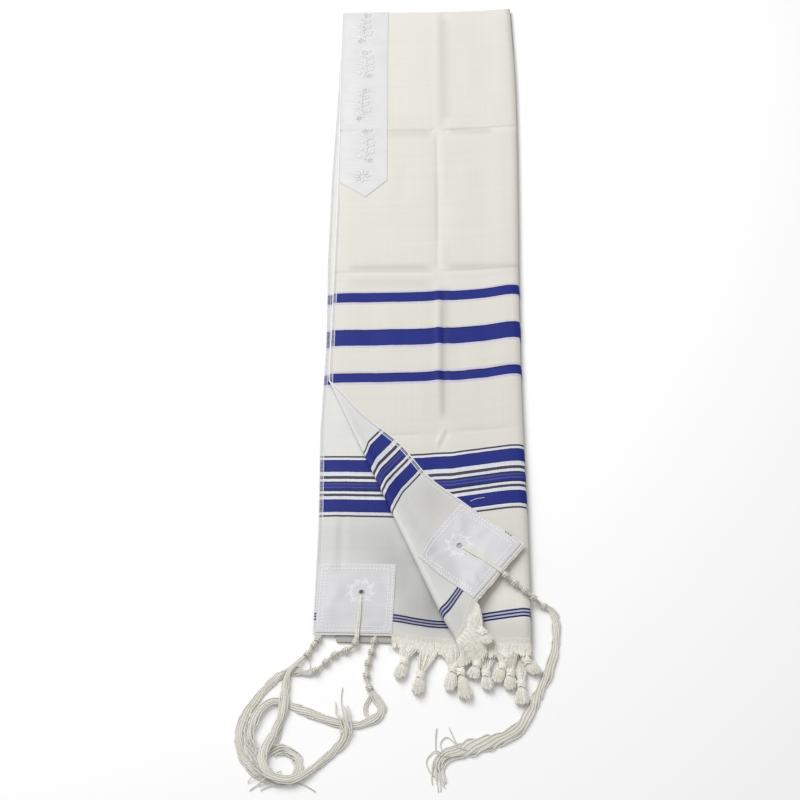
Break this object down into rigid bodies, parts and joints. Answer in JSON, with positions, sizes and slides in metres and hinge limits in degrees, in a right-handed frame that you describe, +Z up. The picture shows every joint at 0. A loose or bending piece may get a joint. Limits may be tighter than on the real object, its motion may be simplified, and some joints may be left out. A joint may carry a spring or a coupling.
{
  "type": "folded tallit prayer shawl",
  "caption": "Striped wool prayer shawl with a neckband, corner patches and knotted fringes, folded into a flat strip with one corner turned back.",
  "frame": {"origin": "middle of the folded strip's flat underside, on the surface that it lies on", "axes": "+Z up; the strip's length runs along Y, with its fringed hems at -Y and the cross fold at +Y; the selvages are at -X and the lengthwise fold at +X"},
  "size_m": [0.341, 1.0704, 0.023],
  "materials": {
    "wool": "plain woven wool, cream, with royal blue and navy stripes, matte with a soft sheen in the stripes",
    "satin": "white satin with raised white embroidery",
    "thread": "off-white twisted wool thread, matte"
  },
  "bodies": {
    "root": {"front_half": "wool", "back_half": "wool", "atara": "satin", "patch_inner": "satin", "patch_outer": "satin", "tzitzit_inner": "thread", "tzitzit_left": "thread", "tzitzit_lower": "thread", "tzitzit_outer": "thread", "fringe_inner": "thread", "fringe_back": "thread", "fringe_outer": "thread", "fringe_flap": "thread"}
  },
  "joints": []
}
